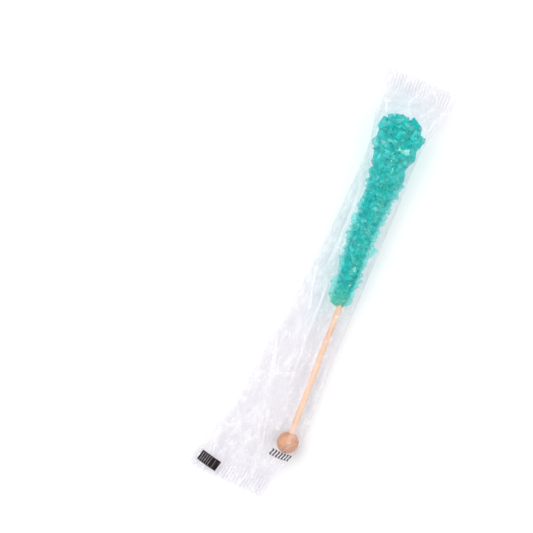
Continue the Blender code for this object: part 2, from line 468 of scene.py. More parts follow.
def crystal_places(candy, stick, rng):
    """Up the pack, across it, height and size of each crystal, ring by ring."""
    start, end = CANDY_FROM - 0.5 * MM, CANDY_TO + 0.5 * MM
    raw = []
    up = start
    while up < end:
        share = (up - start) / (end - start)
        size = candy.fine + (candy.medium - candy.fine) * float(ease(share / 0.35))
        size += (candy.coarse - candy.medium) * float(ease((share - 0.55) / 0.35))
        left, right = [float(side) for side in candy_sides(up)]
        axis_height = float(stick_height(stick, up))
        middle, half = (left + right) / 2, (right - left) / 2
        lower = float(1 - ease((up - 160 * MM) / (25 * MM)))
        half *= (1 - 0.2 * lower) * (0.55 + 0.45 * float(ease((up - start) / (5 * MM))))
        top = min(half * 0.95, 9.4 * MM)
        bottom = min(half * 0.95, axis_height - 0.7 * MM)
        for _ in range(int(6 * lower)):
            angle = rng.choice([0, math.pi]) + rng.normal(0, 0.6)
            out = rng.uniform(-0.4, 1.25) * MM
            raw.append((up + rng.uniform(-0.5, 0.5) * size, middle + (half + out) * math.cos(angle),
                        axis_height + (min(bottom, top) + out) * math.sin(angle),
                        rng.uniform(1.6, 2.8) * MM))
        around = 2 * math.pi * math.sqrt((half**2 + top**2) / 2)
        for inset, crowd in ((0.42, 0.62), (1.1, 0.9)):
            count = max(int(around / (size * crowd)), 3)
            for k in range(count):
                angle = 2 * math.pi * (k + rng.uniform(0, 0.9)) / count
                own = size * rng.uniform(0.62, 1.25)
                lump = math.sin(up / (4.1 * MM) + 2 * angle) + math.sin(up / (2.3 * MM) - 5 * angle)
                reach_x = half + 0.3 * MM * lump - inset * own - rng.uniform(0, 0.45) * size
                reach_z = top if math.sin(angle) > 0 else bottom
                reach_z = reach_z - inset * own - rng.uniform(0, 0.2) * size
                raw.append((up + rng.uniform(-0.45, 0.45) * size,
                            middle + max(reach_x, 0.3 * MM) * math.cos(angle),
                            axis_height + max(reach_z, 0.2 * MM) * math.sin(angle), own))
        up += size * 0.62
    return raw + [tuple(v * MM for v in outlier) for outlier in OUTLIERS]


def grow_seeds(candy, stick, corners):
    """Where each crystal grows, how it is turned, its three sizes, its kind and its reach."""
    rng = np.random.default_rng(candy.seed)
    seeds = []
    for up, across, height, own in crystal_places(candy, stick, rng):
        turn = rng.uniform(0, 2 * math.pi, 3)
        sizes = own * rng.uniform((0.82, 0.7, 0.95), (1.1, 0.95, 1.3))
        kind = int(rng.integers(CRYSTAL_KINDS))
        reach = (corners[kind] * sizes) @ np.array(Euler(turn).to_matrix()).T
        left, right = [SEAL_MIDDLE + float(side) for side in film_sides(up)]
        room = ((left + SIDE_ROOM, right - SIDE_ROOM),
                (LOW.y + (103.2 + rng.uniform(0, 4)) * MM, LOW.y + (204.3 - rng.uniform(0, 3.5)) * MM),
                (CRYSTAL_FLOOR, CRYSTAL_CEILING))
        place = to_row(across, up, height)
        for k, (low, high) in enumerate(room):
            place[k] = np.clip(place[k], low - reach[:, k].min(), high - reach[:, k].max())
        seeds.append((place, turn, sizes, kind, np.linalg.norm(reach, axis=1).max()))
    return seeds


def batches_apart(seeds):
    """Numbers the crystals so that no two of one number can touch."""
    places = np.array([s[0] for s in seeds])
    reach = np.array([s[4] for s in seeds])
    batch = np.full(len(seeds), -1)
    for k in np.argsort(-reach):
        near = np.linalg.norm(places - places[k], axis=1) < reach + reach[k] + 0.02 * MM
        taken = set(batch[near])
        batch[k] = next(b for b in range(len(seeds)) if b not in taken)
    return batch


def crystal_points(seeds, batch):
    """A mesh of points that holds each crystal's turn, sizes, kind and batch."""
    points = bpy.data.meshes.new("crystal_points")
    points.from_pydata([tuple(s[0]) for s in seeds], [], [])
    for name, values in (("turn", [s[1] for s in seeds]), ("sizes", [s[2] for s in seeds])):
        points.attributes.new(name, "FLOAT_VECTOR", "POINT").data.foreach_set("vector", np.ravel(values))
    for name, values in (("kind", [s[3] for s in seeds]), ("batch", batch)):
        points.attributes.new(name, "INT", "POINT").data.foreach_set("value", np.array(values, np.int32))
    return points


def crystal_tree(kinds, material):
    """Geometry Nodes that set a crystal on each point of one batch."""
    tree = bpy.data.node_groups.new("sugar_crystals", "GeometryNodeTree")
    face = tree.interface
    face.new_socket("Geometry", in_out="INPUT", socket_type="NodeSocketGeometry")
    face.new_socket("Batch", in_out="INPUT", socket_type="NodeSocketInt")
    face.new_socket("Crystal Scale", in_out="INPUT", socket_type="NodeSocketFloat").default_value = 1.0
    face.new_socket("Geometry", in_out="OUTPUT", socket_type="NodeSocketGeometry")
    source = tree.nodes.new("NodeGroupInput").outputs

    def held(name, kind):
        """The socket of a value that the points hold."""
        node = add_node(tree, "GeometryNodeInputNamedAttribute", {"data_type": kind})
        node.inputs["Name"].default_value = name
        return next(s for s in node.outputs if s.enabled)

    in_batch = add_node(tree, "FunctionNodeCompare", {"data_type": "INT", "operation": "EQUAL"})
    whole = [s for s in in_batch.inputs if s.enabled]
    tree.links.new(held("batch", "INT"), whole[0])
    tree.links.new(source["Batch"], whole[1])
    blocks = add_node(tree, "GeometryNodeCollectionInfo", {"transform_space": "ORIGINAL"},
                      Collection=kinds, Separate_Children=True, Reset_Children=True)
    scale = add_node(tree, "ShaderNodeVectorMath", {"operation": "SCALE"},
                     i0=held("sizes", "FLOAT_VECTOR"), Scale=source["Crystal Scale"])
    turn = add_node(tree, "FunctionNodeEulerToRotation", i0=held("turn", "FLOAT_VECTOR"))
    grown = add_node(tree, "GeometryNodeInstanceOnPoints", Points=source["Geometry"],
                     Selection=in_batch.outputs[0], Instance=blocks.outputs[0], Pick_Instance=True,
                     Instance_Index=held("kind", "INT"), Rotation=turn.outputs[0],
                     Scale=scale.outputs[0])
    real = add_node(tree, "GeometryNodeRealizeInstances", Geometry=grown.outputs[0])
    finish = add_node(tree, "GeometryNodeSetMaterial", Geometry=real.outputs[0], Material=material)
    target = tree.nodes.new("NodeGroupOutput")
    tree.links.new(finish.outputs[0], target.inputs[0])
    return tree


def sugar_material(candy):
    """Clear blue-green sugar: deep colour where it is thick, paler at its two sides and lower end."""
    material, tree, output = new_material("sugar")
    at = object_place(tree)
    cells = add_node(tree, "ShaderNodeTexVoronoi", Vector=at, Scale=560.0).outputs["Color"]
    pick = add_node(tree, "ShaderNodeSeparateColor", Color=cells).outputs[0]
    cloud = noise(tree, at, 190.0, 4.0)
    along = add_node(tree, "ShaderNodeSeparateXYZ", Vector=at).outputs[1]
    lower = remap(tree, along, LOW.y + CANDY_FROM, LOW.y + CANDY_FROM + 11 * MM, 1.0, 0.0)
    tone = ramp(tree, pick, (0.0, shade(candy.sugar, 0.74)), (0.5, shade(candy.sugar, 1.0)),
                (1.0, shade((candy.sugar[0] * 3, candy.sugar[1], candy.sugar[2] * 1.03), 1.26)))
    tone = mix_colour(tree, ramp(tree, cloud, (0.48, grey(0)), (0.7, grey(0.16))), tone,
                      (0.15, 0.66, 0.63, 1))
    tone = mix_colour(tree, lower, tone, (0.10, 0.56, 0.43, 1))
    clearer = ramp(tree, pick, (0.90, grey(0)), (0.94, grey(0.5)))
    tone = mix_colour(tree, clearer, tone, (0.26, 0.74, 0.71, 1))
    rim = ramp(tree, attribute(tree, "rim"), (0.66, grey(0)), (0.92, grey(0.8)))
    tone = mix_colour(tree, rim, tone, (0.40, 0.80, 0.775, 1))
    scratches = noise(tree, at, 900.0, 2.0)
    bump = add_node(tree, "ShaderNodeBump", Height=scratches, Strength=0.12, Distance=0.0003).outputs[0]
    rough = remap(tree, cloud, 0.3, 0.7, 0.07, 0.22)
    body = add_node(tree, "ShaderNodeBsdfPrincipled", Base_Color=tone, Roughness=rough, IOR=1.5,
                    Normal=bump, Transmission_Weight=0.55, Subsurface_Weight=0.15,
                    Subsurface_Scale=0.002)
    through = add_node(tree, "ShaderNodeBsdfTransparent", Color=(0.975, 0.996, 0.994, 1))
    shadow = add_node(tree, "ShaderNodeLightPath").outputs["Is Shadow Ray"]
    mixed = add_node(tree, "ShaderNodeMixShader", i0=shadow, i1=body.outputs[0], i2=through.outputs[0])
    depth = add_node(tree, "ShaderNodeVolumeAbsorption", Color=(*candy.depth_colour, 1),
                     Density=candy.depth)
    tree.links.new(mixed.outputs[0], output.inputs["Surface"])
    tree.links.new(depth.outputs[0], output.inputs["Volume"])
    return material


def sugar_core(stick):
    """The solid sugar that the crystals stand on, inside their envelope."""
    shape = bmesh.new()
    rings = []
    for up in np.linspace(CANDY_FROM + 1.5 * MM, CANDY_TO - 4 * MM, 26):
        left, right = [float(side) for side in candy_sides(up)]
        middle, half = (left + right) / 2, (right - left) / 2 * 0.62
        axis_height = float(stick_height(stick, up))
        tall = min(half, 7 * MM, axis_height - 1.5 * MM)
        angles = np.linspace(0, 2 * math.pi, CORE_SIDES, endpoint=False)
        ring = to_row(middle + half * np.cos(angles), up, axis_height + tall * np.sin(angles))
        rings.append([shape.verts.new(place) for place in ring])
    for lower, upper in zip(rings, rings[1:]):
        for j in range(CORE_SIDES):
            n = (j + 1) % CORE_SIDES
            shape.faces.new((lower[j], lower[n], upper[n], upper[j]))
    shape.faces.new(rings[0])
    shape.faces.new(rings[-1])
    bmesh.ops.triangulate(shape, faces=shape.faces)
    bmesh.ops.recalc_face_normals(shape, faces=shape.faces)
    return shape_mesh(shape, "sugar_core")


def mesh_now(piece):
    """The piece's mesh with its modifiers applied."""
    graph = bpy.context.evaluated_depsgraph_get()
    return bpy.data.meshes.new_from_object(piece.evaluated_get(graph))


def rim_share(mesh):
    """0 along the middle of the candy, 1 at its two sides, fading out up its thick end."""
    places = mesh_places(mesh)
    across, up = places[:, 0] - SEAL_MIDDLE, places[:, 1] - LOW.y
    left, right = candy_sides(up)
    share = np.abs(across - (left + right) / 2) / ((right - left) / 2)
    return share * (1 - 0.45 * ease((up - 150 * MM) / (40 * MM)))


class BuildCandy(bpy.types.Operator):
    """Grows the sugar crystals round the stick and joins them into one body"""
    bl_idname = "rock_candy.candy"
    bl_label = "Sugar crystals"

    def execute(self, context):
        scene = context.scene
        candy, stick = scene.rock_candy_candy, scene.rock_candy_stick
        material = sugar_material(candy)
        kinds = bpy.data.collections.new("crystal_kinds")
        blocks = []
        for kind in range(CRYSTAL_KINDS):
            block = bpy.data.objects.new("crystal_%d" % kind, crystal_mesh(kind))
            kinds.objects.link(block)
            blocks.append(block)
        seeds = grow_seeds(candy, stick, [np.array([v.co for v in block.data.vertices]) for block in blocks])
        batch = batches_apart(seeds)
        holder = bpy.data.objects.new("crystal_points", crystal_points(seeds, batch))
        scene.collection.objects.link(holder)
        tree = crystal_tree(kinds, material)
        socket = {s.name: s.identifier for s in tree.interface.items_tree if s.in_out == "INPUT"}
        whole = bpy.data.objects.new("sugar_core", sugar_core(stick))
        scene.collection.objects.link(whole)
        for number in range(int(batch.max()) + 1):
            grow = holder.modifiers.new("grow", "NODES")
            grow.node_group = tree
            grow[socket["Batch"]] = number
            mesh = mesh_now(holder)
            holder.modifiers.remove(grow)
            cutter = bpy.data.objects.new("batch", mesh)
            scene.collection.objects.link(cutter)
            join = whole.modifiers.new("join", "BOOLEAN")
            join.operation = "UNION"
            join.solver = "MANIFOLD"
            join.object = cutter
            joined = mesh_now(whole)
            whole.modifiers.remove(join)
            if len(joined.vertices) < len(whole.data.vertices) // 2:
                raise RuntimeError("the crystals did not join")
            whole.data = joined
            bpy.data.objects.remove(cutter)
        bpy.data.objects.remove(holder)
        for block in blocks:
            bpy.data.objects.remove(block)
        bpy.data.collections.remove(kinds)
        mesh = whole.data
        bpy.data.objects.remove(whole)
        mesh.shade_flat()
        layer = mesh.attributes.new("rim", "FLOAT", "POINT")
        layer.data.foreach_set("value", rim_share(mesh).astype(np.float32))
        finish_piece("rock_candy", mesh, material)
        return {"FINISHED"}


# ---------------------------------------------------------------- film

COLUMNS_PER_TOOTH = 8
ROW_STEP = 0.6 * MM
TOOTH_REACH = 1.8 * MM  # how far up the film the teeth bend its rows
STICK_SEAL_HEIGHT = 2.6 * MM
CANDY_SEAL_HEIGHT = 6.2 * MM
SMALL_CREASES = 150
CRUMPLE_LAYERS = 9


def openness(film, up):
    """0 in the seals, 1 where the pack stands open between them."""
    from_stick_end = (up - film.seal_length) / (24 * MM)
    from_candy_end = (PACK_LENGTH - film.seal_length - up) / (17 * MM)
    return np.sqrt(ease(from_stick_end)) * np.sqrt(ease(from_candy_end))


def crest_height(stick, up):
    """How high the film lies over its contents, as the running mean of tents over the high places."""
    fine = np.arange(0, PACK_LENGTH + 1e-6, 1 * MM)
    axis = stick_height(stick, fine)
    ball = stick.ball_radius * np.sqrt(np.maximum(1 - ((fine - stick.ball_up) / stick.ball_radius) ** 2, 0))
    along = np.clip((fine - CANDY_FROM) / (99 * MM), 0, 1)
    grown = (5.4 + 4.2 * along**1.6) * MM
    nose = np.maximum(fine - 194 * MM, 0) / (9 * MM)
    grown = grown * np.sqrt(np.maximum(1 - nose**2, 0)) * (fine > CANDY_FROM)
    height = axis + np.maximum(np.maximum(ball, grown), stick.radius) + 0.9 * MM
    tall = np.zeros_like(height)
    for k in range(-23, 24):
        shifted = np.interp(fine + k * MM, fine, height)
        tall = np.maximum(tall, shifted * (1 - 0.55 * (abs(k) / 24) ** 1.5))
    smooth = sum(np.interp(fine + k * 2 * MM, fine, tall) for k in range(-3, 4)) / 7
    return np.interp(up, fine, smooth)


LONG_CREASES = (  # from (across, up) to (across, up) in millimetres, height as a share, half-width
    ((-4.6, 172), (0.6, 118), 1.5, 1.0),
    ((-2.0, 158), (-1.4, 108), 1.2, 0.9),
    ((-6.2, 150), (-5.4, 112), 1.0, 1.1),
    ((-7.0, 120), (1.5, 92), 1.3, 1.0),
    ((0.6, 128), (5.5, 84), 1.1, 0.9),
    ((17.5, 178), (18.5, 122), 0.9, 1.0),
    ((19.5, 150), (21.0, 96), 0.8, 1.1),
    ((-8.0, 100), (4.0, 70), -1.0, 1.4),
    ((3.0, 100), (9.0, 52), 1.1, 1.2),
    ((16.0, 96), (21.5, 48), 0.9, 1.2),
    ((-10.0, 84), (2.0, 46), 1.2, 1.4),
    ((-12.0, 56), (8.0, 64), 0.9, 1.3),
    ((-13.5, 42), (0.0, 20), 1.2, 1.3),
    ((2.0, 50), (12.0, 14), 1.2, 1.2),
    ((-4.0, 40), (-9.0, 12), 1.0, 1.1),
    ((14.0, 26), (17.0, 11), 1.0, 1.0),
    ((22.5, 30), (20.0, 11), 1.1, 1.0),
    ((-12.0, 211), (-7.5, 198), 1.2, 0.9),
    ((-5.0, 212), (-2.0, 203), -1.0, 0.9),
    ((4.0, 212), (3.0, 204), 1.0, 0.9),
    ((10.0, 212), (8.0, 203), 1.1, 0.8),
    ((16.5, 212), (14.0, 198), 1.2, 0.9),
    ((-9.0, 207), (3.0, 209), 0.9, 0.7),
    ((2.0, 206.5), (14.0, 207.5), 0.8, 0.7),
    ((-1.0, 203.5), (9.0, 206.2), 0.9, 0.7),
)


def crease_field(film, across, up):
    """The height that sharp creases add at each place: the named long ones, then many small ones."""
    rng = np.random.default_rng(film.crease_seed)
    creases = list(LONG_CREASES)
    for _ in range(SMALL_CREASES):
        at = rng.uniform(12, 208)
        left, right = [float(side) / MM for side in film_sides(at * MM)]
        x = rng.uniform(left + 1, right - 1)
        length = rng.uniform(4, 15)
        lengthwise = abs(rng.normal(0, 0.55)) * rng.choice([-1, 1]) if at < 205 else rng.uniform(-1.5, 1.5)
        dx, dy = math.sin(lengthwise) * length / 2, math.cos(lengthwise) * length / 2
        creases.append(((x - dx, at - dy), (x + dx, at + dy), rng.choice([-0.6, 1]) * rng.uniform(0.3, 0.8),
                        rng.uniform(0.6, 1.4)))
    total = np.zeros_like(across)
    for (x0, y0), (x1, y1), height, width in creases:
        dx, dy = (x1 - x0) * MM, (y1 - y0) * MM
        length = math.hypot(dx, dy)
        t = ((across - x0 * MM) * dx + (up - y0 * MM) * dy) / length**2
        off = np.abs((across - x0 * MM) * dy - (up - y0 * MM) * dx) / length
        along = np.sin(np.pi * np.clip(t, 0, 1)) ** 0.6
        total += height * along * np.maximum(1 - off / (width * 1.5 * MM), 0) ** 1.4
    return film.crease_height * total


def crumple_field(across, up):
    """Flat facets with sharp folds between them, as stiff film takes when it is handled."""
    rng = np.random.default_rng(23)
    x = across + 1.3 * MM * np.sin(up / (7 * MM)) + 0.7 * MM * np.sin(up / (3.1 * MM) + 2)
    y = up + 1.6 * MM * np.sin(across / (6 * MM) + 1) + 0.6 * MM * np.sin(across / (2.3 * MM))
    total = np.zeros_like(across)
    for k in range(CRUMPLE_LAYERS):
        turn = rng.normal(math.pi / 2, 0.6) if k % 3 else rng.uniform(0, math.pi)
        length = rng.uniform(7, 19) * MM
        run = (x * math.sin(turn) + y * math.cos(turn)) / length + rng.random()
        total += (np.abs(run % 1 * 2 - 1) - 0.5) * length * rng.uniform(0.030, 0.055)
    return total


def contents_reach(names, across, up):
    """The highest and the lowest place of what lies in the pack, over each place of the film's grid."""
    high = np.zeros_like(across)
    low = np.full_like(across, 1.0)
    rows, columns = across.shape
    for name in names:
        co = mesh_places(bpy.data.objects[name].data)
        row = np.round(np.interp(co[:, 1] - LOW.y, up[:, 0], np.arange(rows))).astype(int)
        left, right = across[row, 0], across[row, -1]
        share = np.clip(2 * (co[:, 0] - SEAL_MIDDLE - left) / (right - left) - 1, -1, 1)
        column = np.round((np.arcsin(share) / (math.pi / 2) + 1) / 2 * (columns - 1)).astype(int)
        np.maximum.at(high, (row, column), co[:, 2])
        np.minimum.at(low, (row, column), co[:, 2])
    return high, low


def tented(touch, across, slope=0.8, reach=14):
    """Spreads each touching place into a tent, so the film hangs in straight lines between them."""
    out = touch.copy()
    gap = np.abs(np.diff(across, axis=1))
    side = np.concatenate([gap[:, :1], gap], 1)
    for _ in range(reach):
        padded = np.pad(out, 1, mode="edge")
        for neighbour, step in ((padded[:-2, 1:-1], ROW_STEP), (padded[2:, 1:-1], ROW_STEP),
                                (padded[1:-1, :-2], side), (padded[1:-1, 2:], side)):
            out = np.maximum(out, neighbour - slope * step)
    return out


def softened(grid):
    """The grid with each place drawn half way to the mean of its four neighbours."""
    padded = np.pad(grid, 1, mode="edge")
    return (padded[:-2, 1:-1] + padded[2:, 1:-1] + padded[1:-1, :-2] + padded[1:-1, 2:] + 4 * grid) / 8


def film_rows():
    """The film's rows up the pack, set closer along the teeth."""
    toothed = [0, 0.45, 0.9, 1.35, 1.8]
    length = PACK_LENGTH / MM
    return np.array(toothed + list(np.linspace(2.4, length - 2.4, 362))
                    + [length - t for t in toothed[::-1]]) * MM


def film_grid(film, stick):
    """The film's top and underside as grids of places, with what its finish reads at each place."""
    columns = COLUMNS_PER_TOOTH * film.teeth + 1
    rows = film_rows()
    up = np.repeat(rows[:, None], columns, 1)
    even = np.repeat(np.linspace(-1, 1, columns)[None], len(rows), 0)
    left, right = film_sides(up)
    middle, half = (left + right) / 2, (right - left) / 2
    share = openness(film, up)
    place = even * (1 - share) + np.sin(even * math.pi / 2) * share
    across = middle + half * place
    crest = crest_height(stick, up)
    seal = np.where(up < PACK_LENGTH / 2, STICK_SEAL_HEIGHT, CANDY_SEAL_HEIGHT)
    side = seal * (1 - share) + 0.34 * crest * share
    crest_at = (stick_across(stick, up) - middle) / half * 0.8
    reach = np.where(place > crest_at, 1 - crest_at, 1 + crest_at)
    fullness = np.maximum(1 - ((place - crest_at) / reach) ** 2, 0) ** 0.85
    ripple = 0.55 * MM * (1 - share) * np.sin(2 * math.pi * across / (17 * MM) + up / PACK_LENGTH)
    in_seal = np.minimum(up, PACK_LENGTH - up) / film.seal_length
    pressed = 1 - ease((in_seal - 0.92) / 0.16)
    tooth = np.arange(columns) / COLUMNS_PER_TOOTH
    rib = np.abs(((tooth * 2) % 1) * 2 - 1) * 2 - 1
    level = side + ripple + film.rib_height * rib * pressed
    from_seal = np.minimum(up, PACK_LENGTH - up) - film.seal_length
    pleated = ease(1 - from_seal / (34 * MM)) * ease(from_seal / (10 * MM))
    inner = 1 - place**2
    pleat = 0.3 * MM * pleated * inner * (1 - 2 * np.abs(np.sin(3.5 * math.pi * place)))
    waves = np.sin(2 * math.pi * (up / (47 * MM) + 0.9 * place)) * 0.45 * MM * share
    waves += np.sin(2 * math.pi * (up / (19 * MM) - 1.7 * place) + 1) * 0.22 * MM * share
    waves *= np.sin(math.pi * np.clip(inner, 0, 1) ** 0.8)
    hang = (crest - side) * share * fullness
    loose = np.clip(from_seal / (2 * MM), 0, 1) * ease(inner * 2.5)
    folds = crease_field(film, across, up) * loose
    creased = folds + crumple_field(across, up) * loose
    gap = film.seal_gap / 2
    top = level + gap + np.maximum(hang * 0.93 + pleat + waves, 0) + creased
    touch, low = contents_reach(("rock_candy", "wooden_ball", "birch_stick"), across, up)
    tent = softened(softened(tented(touch, across)))
    snug = np.maximum(tent, touch) + 0.25 * MM
    top = np.where(touch > 0, np.maximum(top, snug), np.maximum(top, tent))
    drop = 1.3 * side * share * fullness
    under = level - gap - drop - 0.5 * creased
    under = np.minimum(under, 1.0 - tented(1.0 - low, across) - 0.2 * MM)
    under = np.minimum(np.maximum(under, 0.22 * MM), top - film.seal_gap)
    edges = [across - film.seam_from, film.seam_from + film.seam_width - across]
    under -= 0.1 * MM * ease(np.minimum(*edges) / (0.6 * MM) + 0.5)
    seam = 0.85 * np.exp(-np.minimum(*np.abs(edges)) ** 2 / (0.45 * MM) ** 2) * loose
    notch = film.tooth_depth * np.abs((tooth % 1) * 2 - 1)
    fade_low = np.clip(1 - up / TOOTH_REACH, 0, 1)
    fade_high = np.clip(1 - (PACK_LENGTH - up) / TOOTH_REACH, 0, 1)
    along = up + notch * fade_low - notch * fade_high
    along += across * CUT_LEAN * ease(1 - (PACK_LENGTH - up) / CUT_LEAN_REACH)
    return across, along, top, under, rib * pressed, pressed, folds / film.crease_height, seam


def painted_candy_light_reach(across, up):
    """Painted teal light from the candy: 1 next to the candy, stronger on its left side, falling to 0 away
    from it.
    """
    left, right = candy_sides(up)
    off = np.maximum(np.maximum(left - across, across - right), 0)
    beyond = np.maximum(np.maximum(CANDY_FROM - up, up - CANDY_TO), 0)
    away = np.hypot(off, beyond * 0.55)
    bias = np.where(across < left, 1.0, 0.4)
    return np.exp(-((away / (8.5 * MM)) ** 2)) * bias


def over_candy(across, up):
    """1 over the candy, falling to 0 within a few millimetres of its outline."""
    left, right = candy_sides(up)
    off = np.maximum(left - across, across - right)
    beyond = np.maximum(CANDY_FROM - up, up - CANDY_TO)
    return 1 - ease(np.maximum(off, beyond) / (1.8 * MM) + 0.5)


def crinkle(tree, at, scale, stretch):
    """Sharp-edged wrinkles, drawn out along the pack."""
    return add_node(tree, "ShaderNodeTexNoise", {"noise_type": "RIDGED_MULTIFRACTAL", "normalize": True},
                    Vector=mapped(tree, at, stretch), Scale=scale, Detail=3.0, Roughness=0.5, Offset=0.85,
                    Gain=2.0, Distortion=0.25).outputs["Fac"]


def film_material(film):
    """Clear, glossy, finely crinkled packing film, with painted highlights on its crinkles, folds and ribs,
    painted shade in its dips, and painted teal light from the candy near it; the painted highlights and the
    gloss are weaker where it lies tight on the candy.
    """
    material, tree, output = new_material("packing_film")
    at = object_place(tree)
    broad = crinkle(tree, at, 95.0, (1.5, 0.55, 1.2))
    fine = crinkle(tree, at, 330.0, (1.2, 0.6, 1.2))
    height = calc(tree, "MULTIPLY", calc(tree, "ADD", calc(tree, "MULTIPLY", fine, 0.5), broad), 0.66)
    bump = add_node(tree, "ShaderNodeBump", Height=height, Strength=0.5, Distance=0.0009).outputs[0]
    near, tight = attribute(tree, "painted_candy_light"), attribute(tree, "on_candy")
    rib, fold, sealed = attribute(tree, "rib"), attribute(tree, "fold"), attribute(tree, "sealed")

    # What a layer lets through: less where it is seen edge on, and less in the crinkles' dips, on the crimp
    # ribs and beside folds, where the darker tint is painted shade.
    # Painted teal light from the candy, mixed into the tint near it.
    tint = mix_colour(tree, near, (*film.tint, 1), (*film.painted_candy_light_tint, 1))
    hollow_shade = ramp(tree, height, (0.20, (0.975, 0.968, 0.980)), (0.50, grey(1)))
    tint = mix_colour(tree, 1.0, tint, hollow_shade, "MULTIPLY")
    rib_shade = ramp(tree, rib, (0.0, grey(0)), (1.0, grey(1)))
    tint = mix_colour(tree, rib_shade, tint, (0.966, 0.962, 0.974, 1), "MULTIPLY")
    # Painted shade in a band on each side of a fold.
    beside = ramp(tree, fold, (0.10, grey(1)), (0.30, (0.935, 0.932, 0.948)), (0.52, grey(1)))
    tint = mix_colour(tree, 1.0, tint, beside, "MULTIPLY")
    facing = add_node(tree, "ShaderNodeLayerWeight", Blend=0.35).outputs["Facing"]
    steep = ramp(tree, facing, (0.25, grey(0)), (0.8, grey(1)))
    tint = mix_colour(tree, steep, tint, (0.90, 0.90, 0.93, 1), "MULTIPLY")
    clear = add_node(tree, "ShaderNodeBsdfTransparent", Color=tint)

    # Painted highlights: white laid on the crinkles' crests, along folds and the back seal's two edges, and
    # on the crimp ribs, with painted sheen where the seals are seen edge on.
    crest = ramp(tree, height, (0.74, grey(0.002)), (0.96, grey(0.13)))
    line = ramp(tree, fold, (0.55, grey(0)), (0.95, grey(0.22)))
    rib_highlight = remap(tree, rib, -1.0, 0.0, 0.12, 0.0)
    edge_sheen = calc(tree, "MULTIPLY", ramp(tree, steep, (0.45, grey(0)), (0.9, grey(0.8))), sealed)
    painted_highlight_share = crest
    for more in (line, rib_highlight, edge_sheen):
        painted_highlight_share = calc(tree, "MAXIMUM", painted_highlight_share, more)
    painted_highlight_share = calc(tree, "MULTIPLY", painted_highlight_share, remap(tree, tight, 0.0, 1.0, 1.0, 0.15))
    # The white of the painted highlights and sheen.
    painted_highlight_white = add_node(tree, "ShaderNodeBsdfDiffuse", Color=(0.96, 0.96, 0.98, 1), Normal=bump)
    body = add_node(tree, "ShaderNodeMixShader", i0=painted_highlight_share, i1=clear.outputs[0], i2=painted_highlight_white.outputs[0])

    shine = add_node(tree, "ShaderNodeFresnel", IOR=1.40, Normal=bump).outputs[0]
    shine = calc(tree, "MULTIPLY", calc(tree, "MINIMUM", shine, 0.14), remap(tree, tight, 0.0, 1.0, 1.0, 0.6))
    gloss = add_node(tree, "ShaderNodeBsdfGlossy", Color=(1, 1, 1, 1), Roughness=0.07, Normal=bump)
    mixed = add_node(tree, "ShaderNodeMixShader", i0=shine, i1=body.outputs[0], i2=gloss.outputs[0])
    tree.links.new(mixed.outputs[0], output.inputs["Surface"])
    return material


def closed_sheet(upper, lower):
    """A thin closed sheet between two grids of places."""
    rows, columns = upper.shape[:2]
    around = 2 * columns
    places = np.concatenate([upper, lower[:, ::-1]], 1).reshape(-1, 3)
    number = np.arange(rows * around).reshape(rows, around)
    after = np.roll(number, -1, 1)
    faces = [np.stack([number[:-1], number[1:], after[1:], after[:-1]], -1).reshape(-1, 4)]
    k = np.arange(columns - 1)
    for row in (0, rows - 1):
        faces.append(np.stack([number[row, k], number[row, k + 1], number[row, around - 2 - k],
                               number[row, around - 1 - k]], -1))
    return places, np.concatenate(faces)


def turn_outward(mesh):
    """Turns a closed mesh's faces outward and shades it smooth."""
    shape = bmesh.new()
    shape.from_mesh(mesh)
    bmesh.ops.recalc_face_normals(shape, faces=shape.faces)
    shape.to_mesh(mesh)
    shape.free()
    mesh.shade_smooth()


class BuildFilm(bpy.types.Operator):
    """Wraps the film round the candy, with its crimped seals and creases"""
    bl_idname = "rock_candy.film"
    bl_label = "Film"

    def execute(self, context):
        scene = context.scene
        film, stick = scene.rock_candy_film, scene.rock_candy_stick
        across, along, top, under, rib, sealed, fold, seam = film_grid(film, stick)
        places, faces = closed_sheet(to_row(across, along, top), to_row(across, along, under))
        mesh = bpy.data.meshes.new("packing_film")
        mesh.from_pydata(places.tolist(), [], faces.tolist())
        # The first value is the painted teal light near the candy.
        values = {"painted_candy_light": painted_candy_light_reach(across, along), "on_candy": over_candy(across, along),
                  "rib": rib, "sealed": sealed, "fold": fold}
        for name, part in values.items():
            below = (seam if name == "fold" else part)[:, ::-1]
            layer = mesh.attributes.new(name, "FLOAT", "POINT")
            layer.data.foreach_set("value", np.concatenate([part, below], 1).ravel().astype(np.float32))
        turn_outward(mesh)
        finish_piece("packing_film", mesh, film_material(film))
        return {"FINISHED"}


# ---------------------------------------------------------------- print

# Across the pack and up it, in millimetres.
BLOCK_MIDDLE = np.array((-11.3, 5.7))
BLOCK_LEAN = math.radians(-9.8)
STROKES_FROM = np.array((13.9, 24.4))
STROKES_TO = np.array((25.0, 24.6))
STROKE_RISE = np.array((0.6, 1.5))
STROKE_HALF_WIDTH = 0.3


def film_surface():
    """A reader of the film's top sheet: height at (across, up)."""
    graph = bpy.context.evaluated_depsgraph_get()
    tree = BVHTree.FromObject(bpy.data.objects["packing_film"], graph)

    def height(across, up):
        hit = tree.ray_cast(Vector((SEAL_MIDDLE + across, LOW.y + up, 0.05)), Vector((0, 0, -1)))[0]
        return hit.z if hit else 0.0
    return height


def rim_of(sheet):
    """The points round the edge of a grid of points, in order."""
    last = len(sheet) - 1
    return ([row[0] for row in sheet[:last]] + sheet[last][:-1]
            + [row[-1] for row in sheet[:0:-1]] + sheet[0][:0:-1])


